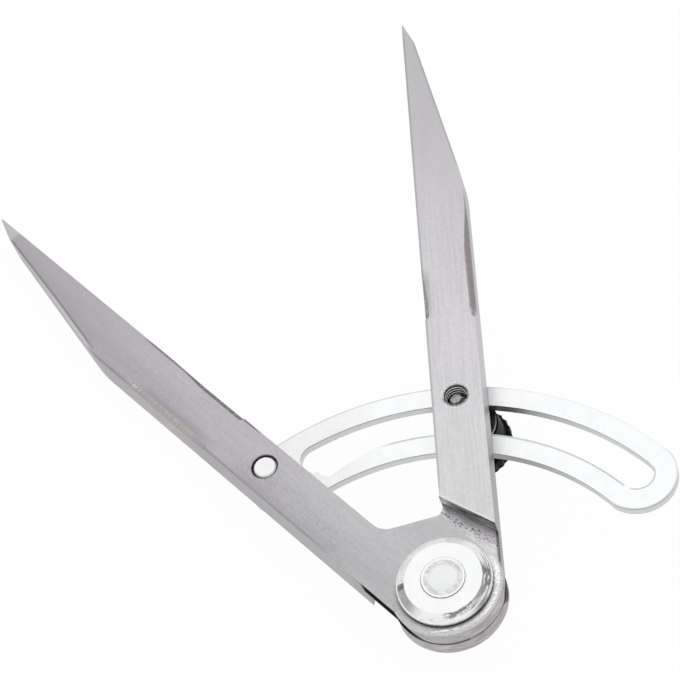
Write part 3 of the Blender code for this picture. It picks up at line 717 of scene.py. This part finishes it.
def washer_zinc(looks):
    """Bright washer whose chamfer carries painted reflections: lighter all round, and dark below,
    at its right and at its left.
    """
    plate = Zinc("washer_zinc", looks.washer_colour, 0.30, 2.2, 0.02)
    x, y, z = plate.place
    radius, angle = plate.around(x, y)
    streak = plate.streaks((angle, 5.0), (radius, 2.2), (z, 1.0), detail=4.0, rough=0.7)
    fleck = plate.step(streak, 0.40, 0.56)
    chamfer = plate.step(radius, WASHER_FLAT - 0.1, WASHER_FLAT + 0.1)
    chamfer_reflection = plate.times(chamfer, plate.step(radius, 8.9, 8.6))

    # Painted reflections on the chamfer: lighter all round, dark by angle, broken by flecks
    plate.mark(grey(0.97), chamfer, 0.8)
    plate.mark(grey(0.62), chamfer_reflection, plate.step(angle, -1.50, -1.42),
               plate.step(angle, -0.60, -1.05), 0.9)
    plate.mark(display(0.46, 0.46, 0.47), chamfer_reflection, plate.band(angle, -1.62, -1.45, 0.03))
    plate.mark(display(0.38, 0.37, 0.36), chamfer_reflection, plate.band(angle, -0.06, 0.74, 0.10),
               plate.step(radius, 8.5, 8.0), fleck)
    plate.mark(display(0.30, 0.29, 0.29), chamfer_reflection, plate.band(angle, 1.18, 1.78, 0.14), fleck)
    plate.mark(grey(0.76), chamfer, plate.step(streak, 0.52, 0.64), 0.6)
    lines = plate.streaks((angle, 1.2), (radius, 3.6), (z, 1.0), detail=2.0)
    plate.mark(grey(0.52), chamfer, plate.band(angle, 0.6, 2.1, 0.3),
               plate.step(lines, 0.46, 0.58), 0.85)
    return plate.finish()


def rivet_zinc(looks):
    """Hammered rivet head, duller toward its rim, with a painted highlight round the rim's edge."""
    plate = Zinc("rivet_zinc", looks.rivet_colour, 0.38, 1.1, 0.03)
    x, y, _ = plate.place
    radius, _ = plate.around(x, y)
    blows = plate.noise(plate.place, 1.3)
    plate.mark(display(0.71, 0.71, 0.70), plate.band(radius, 2.7, 3.65, 0.35),
               plate.step(blows, 0.38, 0.58), 0.75)
    # Painted highlight round the rim of the head
    plate.mark(grey(0.93), plate.step(radius, 3.72, 3.80))
    return plate.finish()


def rim_zinc(looks):
    """The washer's bore closed up on the rivet head: a seam, with painted shade at its lower left.
    """
    plate = Zinc("rivet_rim_zinc", looks.washer_colour, 0.40, 2.5, 0.02)
    x, y, _ = plate.place
    radius, angle = plate.around(x, y)
    plate.mark(display(0.25, 0.25, 0.26), plate.step(radius, 4.22, 4.17),
               plate.band(angle, -1.7, 1.2, 0.6))
    return plate.finish()


def worn_arc_edges(plate):
    """One on the fine worn lines along the arc's outer edge, its slot and its right end."""
    x, y, _ = plate.place
    from_centre, _ = plate.around(x, y, ARC_CENTRE)
    away = plate.add(from_centre, -ARC_RADIUS)
    outer_line = plate.times(plate.step(away, ARC_HALF_BAND - 0.35, ARC_HALF_BAND - 0.20),
                             plate.step(x, 22.0, -4.0, 0.2, 0.8))
    slot_line = plate.times(plate.band(away, -SLOT_HALF_WIDTH - 0.40, -SLOT_HALF_WIDTH, 0.1),
                            plate.step(x, -13.0, -9.0))

    end = (ARC_CENTRE[0] + ARC_RADIUS * math.cos(ARC_END_ANGLE),
           ARC_CENTRE[1] + ARC_RADIUS * math.sin(ARC_END_ANGLE))
    from_end, _ = plate.around(x, y, end)
    _, past_end = plate.turned_axes(plate.add(x, -end[0]), plate.add(y, -end[1]), ARC_END_ANGLE)
    slot_end = plate.times(plate.step(from_end, SLOT_HALF_WIDTH + 0.35, SLOT_HALF_WIDTH + 0.20),
                           plate.step(past_end, -0.8, -1.6))
    tip = plate.times(plate.step(from_end, ARC_TIP_RADIUS - 0.35, ARC_TIP_RADIUS - 0.20), 0.6)
    return plate.add(plate.times(plate.add(outer_line, slot_line),
                                 plate.step(past_end, -0.2, 0.2)),
                     plate.times(plate.add(tip, slot_end), plate.step(past_end, 0.2, -0.2)))


def arc_zinc(looks):
    """The slotted arc: duller at its left, its cut edge dark at the top and by the right leg."""
    plate = Zinc("arc_zinc", looks.arc_colour, 0.36, 1.6, 0.025)
    x, _, z = plate.place
    facing_up = plate.calculate("ABSOLUTE", plate.facing(TOOL_UP))
    edge = plate.step(facing_up, 0.8, 0.4)
    plate.mark(display(0.845, 0.843, 0.845), plate.step(x, -8.0, -22.0, 0.0, 0.70))
    plate.mark(grey(0.83), edge, 0.9)
    plate.mark(grey(0.52), plate.step(x, 34.0, 12.0), plate.step(x, 0.0, 5.0), edge, 0.8)
    plate.mark(grey(0.42), edge, plate.step(z, ARC_TOP - 0.65, ARC_TOP - 0.45), 0.7)
    plate.mark(grey(0.60), worn_arc_edges(plate), plate.step(facing_up, 0.90, 0.97), 0.6)
    return plate.finish()


# Steel and plastic of the clamp

def screw_steel(looks):
    """Worn end of the clamping screw, with painted shade all round one lit spot."""
    steel = Finish("screw_steel", looks.screw_colour, 0.35, 0.9)
    x, y, z = steel.place_in(TOOL)
    worn = steel.noise((x, y, z), 2.2, 4.0, 0.7)
    steel.shade(steel.step(worn, 0.3, 0.7, 0.55, 1.25))
    # Painted shade over the screw's end, but for one lit spot
    lit_spot, _ = steel.around(x, y, (CLAMP_PLACE[0] - 0.45, CLAMP_PLACE[1] + 0.45))
    steel.mark((0.015, 0.014, 0.014), steel.step(lit_spot, 0.95, 1.25),
               steel.step(worn, 0.66, 0.50))
    steel.relief(worn, 0.2, 0.00005)
    return steel.finish()


def black_oxide():
    """The clamp washer's dark finish, with a painted highlight round the rim beside the arc."""
    black = Finish("black_oxide", (0.02, 0.02, 0.021), 0.35, 0.5)
    place = black.place_in(TOOL)
    worn = black.noise(place, 2.0)
    black.shade(black.step(worn, 0.3, 0.7, 0.7, 1.6))
    # Painted highlight along the washer's rim
    black.mark(grey(0.92), black.band(place[2], -7.05, -6.75, 0.03), 0.95)
    black.rough = black.step(worn, 0.3, 0.7, 0.28, 0.45)
    return black.finish()


def knob_plastic(looks):
    """Dull black plastic with a fine grain."""
    plastic = Finish("knob_plastic", looks.knob_colour, 0.42, 0.0)
    plastic.shader.inputs["Specular IOR Level"].default_value = 0.05
    grain = plastic.noise(plastic.place_in(TOOL), 5.0)
    plastic.shade(plastic.step(grain, 0.3, 0.7, 0.7, 1.5))
    plastic.relief(grain, 0.15, 0.00004)
    plastic.rough = plastic.step(grain, 0.3, 0.7, 0.34, 0.50)
    return plastic.finish()


def thread_steel():
    """The hole's thread, with painted highlights on its crests and painted shade in its roots."""
    thread = Finish("thread_steel", display(0.30, 0.29, 0.28), 0.35, 0.9)
    x, y, z = thread.place_in(TOOL)
    radius, _ = thread.around(x, y, CLAMP_PLACE)
    oil = thread.noise((x, y, z), 3.0)
    thread.shade(thread.step(oil, 0.3, 0.7, 0.4, 1.4))
    # Painted shade in the roots and painted highlights on the crests
    thread.mark((0.01, 0.01, 0.01), thread.step(radius, 2.18, 2.28))
    thread.mark(grey(0.97), thread.step(radius, 2.15, 2.12))
    return thread.finish()


# Small pieces

def add_piece(name, work, material, body):
    """A small piece that rides on a body, smooth but for its sharp edges."""
    mesh = bpy.data.meshes.new(name)
    bmesh.ops.recalc_face_normals(work, faces=work.faces)
    work.to_mesh(mesh)
    work.free()
    mesh.shade_smooth()
    mesh.set_sharp_from_angle(angle=math.radians(40.0))
    piece = bpy.data.objects.new(name, mesh)
    bpy.context.scene.collection.objects.link(piece)
    mesh.materials.append(material)
    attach(piece, body)
    return piece


def swept_ring(section, steps, matrix, turns=1.0, rise=0.0):
    """A closed section of (radius, height) swept round an axis, as a ring or as a thread."""
    work = bmesh.new()
    closed = rise == 0.0
    count = steps if closed else round(steps * turns) + 1
    rows = []
    for i in range(count):
        angle = 2.0 * math.pi * i / steps
        lift = rise * i / steps
        rows.append([work.verts.new(matrix @ Vector((radius * math.cos(angle),
                                                     radius * math.sin(angle), height + lift)))
                     for radius, height in section])
    size = len(section)
    for i in range(count if closed else count - 1):
        low, high = rows[i], rows[(i + 1) % count]
        for k in range(size):
            work.faces.new((low[k], low[(k + 1) % size], high[(k + 1) % size], high[k]))
    if not closed:
        work.faces.new(rows[0])
        work.faces.new(list(reversed(rows[-1])))
    return work


def thread_ring(pitch, turns):
    """The thread that shows in the right leg's hole, up to just below the leg's face."""
    start = LEG_FACE - turns * pitch - THREAD_FIRST
    section = [(THREAD_ROOT, -pitch * 0.42), (THREAD_CREST, -pitch * 0.12),
               (THREAD_CREST, pitch * 0.12), (THREAD_ROOT, pitch * 0.42)]
    place = (CLAMP_PLACE[0] / MILLIMETRES, CLAMP_PLACE[1] / MILLIMETRES, start)
    matrix = TOOL @ Matrix.Translation(place)
    return swept_ring(section, THREAD_STEPS, matrix, turns - 0.3, pitch)


# Stage

def rays_to_backdrop(tree):
    """One for rays from the camera and those mirrored or passed on by the object."""
    path = tree.nodes.new("ShaderNodeLightPath")
    total = path.outputs["Is Camera Ray"]
    for name in ("Is Glossy Ray", "Is Transmission Ray"):
        step = tree.nodes.new("ShaderNodeMath")
        step.operation = "MAXIMUM"
        tree.links.new(total, step.inputs[0])
        tree.links.new(path.outputs[name], step.inputs[1])
        total = step.outputs[0]
    return total


def mix_shaders(tree, share, lit, seen, output):
    """Shows one shader to the share of the rays, and the other to the rest."""
    mix = tree.nodes.new("ShaderNodeMixShader")
    tree.links.new(share, mix.inputs["Fac"])
    tree.links.new(lit.outputs[0], mix.inputs[1])
    tree.links.new(seen.outputs[0], mix.inputs[2])
    tree.links.new(mix.outputs[0], tree.nodes[output].inputs["Surface"])


def set_light(node, colour, strength):
    """Colour and strength of a light of the backdrop or the world."""
    node.inputs["Color"].default_value = (*colour, 1.0)
    node.inputs["Strength"].default_value = strength


def paper_floor(look):
    """Paper that shows the backdrop's colour where it is seen, and a share of the shadows."""
    paper = bpy.data.materials.new("paper_floor")
    paper.use_nodes = True
    tree = paper.node_tree
    shader = tree.nodes["Principled BSDF"]
    shader.inputs["Base Color"].default_value = (*look.backdrop, 1.0)
    shader.inputs["Roughness"].default_value = 1.0
    shader.inputs["Specular IOR Level"].default_value = 0.0
    glow = tree.nodes.new("ShaderNodeEmission")
    set_light(glow, look.backdrop, 1.0)
    share = tree.nodes.new("ShaderNodeMath")
    share.operation = "MULTIPLY"
    share.inputs[1].default_value = 1.0 - look.shadow_share
    tree.links.new(rays_to_backdrop(tree), share.inputs[0])
    mix_shaders(tree, share.outputs[0], shader, glow, "Material Output")
    return paper


def lay_floor(look):
    """The floor that the tool lies on, a hair below it."""
    half = look.floor_size / 2.0
    corners = [(x, y, FLOOR_HEIGHT) for x, y in
               ((-half, -half), (half, -half), (half, half), (-half, half))]
    mesh = bpy.data.meshes.new("floor")
    mesh.from_pydata(corners, [], [(0, 1, 2, 3)])
    mesh.materials.append(paper_floor(look))
    floor = bpy.data.objects.new("floor", mesh)
    bpy.context.scene.collection.objects.link(floor)


def set_world(scene, look):
    """Even light from all round, and the backdrop's colour where the world is seen."""
    world = bpy.data.worlds.new("backdrop")
    scene.world = world
    world.use_nodes = True
    tree = world.node_tree
    fill = tree.nodes["Background"]
    set_light(fill, (1.0, 1.0, 1.0), look.fill_level)
    white = tree.nodes.new("ShaderNodeBackground")
    set_light(white, look.backdrop, 1.0)
    mix_shaders(tree, rays_to_backdrop(tree), fill, white, "World Output")


def hang_lamp(scene):
    """A square softbox above and behind at the left, turned to the tool."""
    lamp = bpy.data.lights.new("softbox", "AREA")
    lamp.shape = "SQUARE"
    lamp.size = LAMP_SIDE
    lamp.energy = LAMP_POWER
    box = bpy.data.objects.new("softbox", lamp)
    box.location = LAMP_PLACE
    box.rotation_mode = "QUATERNION"
    box.rotation_quaternion = (-Vector(LAMP_PLACE)).to_track_quat("-Z", "Y")
    scene.collection.objects.link(box)


def set_camera(scene):
    """The camera at the photograph's angle."""
    camera_data = bpy.data.cameras.new("photo_camera")
    camera_data.lens = CAMERA_LENS
    camera_data.sensor_width = 36.0
    camera_data.clip_start = 0.01
    camera_data.clip_end = 20.0
    camera = bpy.data.objects.new("photo_camera", camera_data)
    scene.collection.objects.link(camera)
    camera.matrix_world = (TOOL @ Matrix.Translation(Vector(CAMERA_PLACE))
                           @ Quaternion(CAMERA_TURN).to_matrix().to_4x4())
    scene.camera = camera


# Operators

class COMPASS_OT_legs(bpy.types.Operator):
    """Finish both legs in ground steel"""
    bl_idname = "compass.legs"
    bl_label = "Finish legs"

    def execute(self, context):
        looks = context.scene.compass_legs
        dress("left_leg", left_leg_steel(looks))
        dress("right_leg", right_leg_steel(looks))
        return {"FINISHED"}


class COMPASS_OT_pivot(bpy.types.Operator):
    """Finish the pivot rivet and its washers, and add the rivet's hammered rim"""
    bl_idname = "compass.pivot"
    bl_label = "Finish pivot"

    def execute(self, context):
        looks = context.scene.compass_plating
        washer = washer_zinc(looks)
        dress("front_pivot_washer", washer)
        dress("back_pivot_washer", washer)
        dress("pivot_rivet", rivet_zinc(looks))
        rim = rim_zinc(looks)
        for name, side in (("rivet_rim_front", 1.0), ("rivet_rim_back", -1.0)):
            matrix = TOOL @ Matrix.Diagonal((1.0, side, side, 1.0))
            add_piece(name, swept_ring(RIM_SECTION, RIM_STEPS, matrix), rim, "left_leg_body")
        return {"FINISHED"}


class COMPASS_OT_arc(bpy.types.Operator):
    """Finish the slotted arc and its rivet pin"""
    bl_idname = "compass.arc"
    bl_label = "Finish arc"

    def execute(self, context):
        looks = context.scene.compass_plating
        dress("slotted_arc", arc_zinc(looks))
        dress("arc_rivet_pin", Zinc("pin_zinc", looks.pin_colour, 0.30, 3.0, 0.03).finish())
        return {"FINISHED"}


class COMPASS_OT_clamp(bpy.types.Operator):
    """Finish the thumb screw and its knob, and cut the thread in the leg's hole"""
    bl_idname = "compass.clamp"
    bl_label = "Finish clamp"

    def execute(self, context):
        looks = context.scene.compass_clamp
        dress("clamp_screw", screw_steel(looks))
        dress("clamp_washer", black_oxide())
        dress("clamp_knob", knob_plastic(looks))
        thread = thread_ring(looks.thread_pitch, looks.thread_turns)
        add_piece("hole_thread", thread, thread_steel(), "right_leg_body")
        return {"FINISHED"}


class COMPASS_OT_stage(bpy.types.Operator):
    """Set the pale floor, the soft light and the camera"""
    bl_idname = "compass.stage"
    bl_label = "Set stage"

    def execute(self, context):
        scene = context.scene
        look = scene.compass_stage
        lay_floor(look)
        set_world(scene, look)
        hang_lamp(scene)
        set_camera(scene)
        scene.view_settings.view_transform = "Standard"
        return {"FINISHED"}


class COMPASS_PT_looks(bpy.types.Panel):
    """Sizes and colours of the marking compass"""
    bl_idname = "COMPASS_PT_looks"
    bl_label = "Marking compass"
    bl_space_type = "VIEW_3D"
    bl_region_type = "UI"
    bl_category = "Compass"

    def draw(self, context):
        for title, group_name, group in GROUPS:
            box = self.layout.box()
            box.label(text=title)
            settings = getattr(context.scene, group_name)
            for name in group.__annotations__:
                box.prop(settings, name)
        for operator in OPERATORS:
            self.layout.operator(operator.bl_idname)


GROUPS = (
    ("Legs", "compass_legs", LegFinish),
    ("Plating", "compass_plating", PlatingFinish),
    ("Clamp", "compass_clamp", ClampFinish),
    ("Stage", "compass_stage", StageLook),
)
OPERATORS = (COMPASS_OT_legs, COMPASS_OT_pivot, COMPASS_OT_arc, COMPASS_OT_clamp,
             COMPASS_OT_stage)


def register():
    for _, name, group in GROUPS:
        bpy.utils.register_class(group)
        setattr(bpy.types.Scene, name, PointerProperty(type=group))
    for operator in OPERATORS:
        bpy.utils.register_class(operator)
    bpy.utils.register_class(COMPASS_PT_looks)


def unregister():
    bpy.utils.unregister_class(COMPASS_PT_looks)
    for operator in reversed(OPERATORS):
        bpy.utils.unregister_class(operator)
    for _, name, group in reversed(GROUPS):
        delattr(bpy.types.Scene, name)
        bpy.utils.unregister_class(group)


def main():
    """Builds the scene."""
    register()
    bpy.ops.compass.legs()
    bpy.ops.compass.pivot()
    bpy.ops.compass.arc()
    bpy.ops.compass.clamp()
    bpy.ops.compass.stage()


if __name__ == "__main__":
    main()
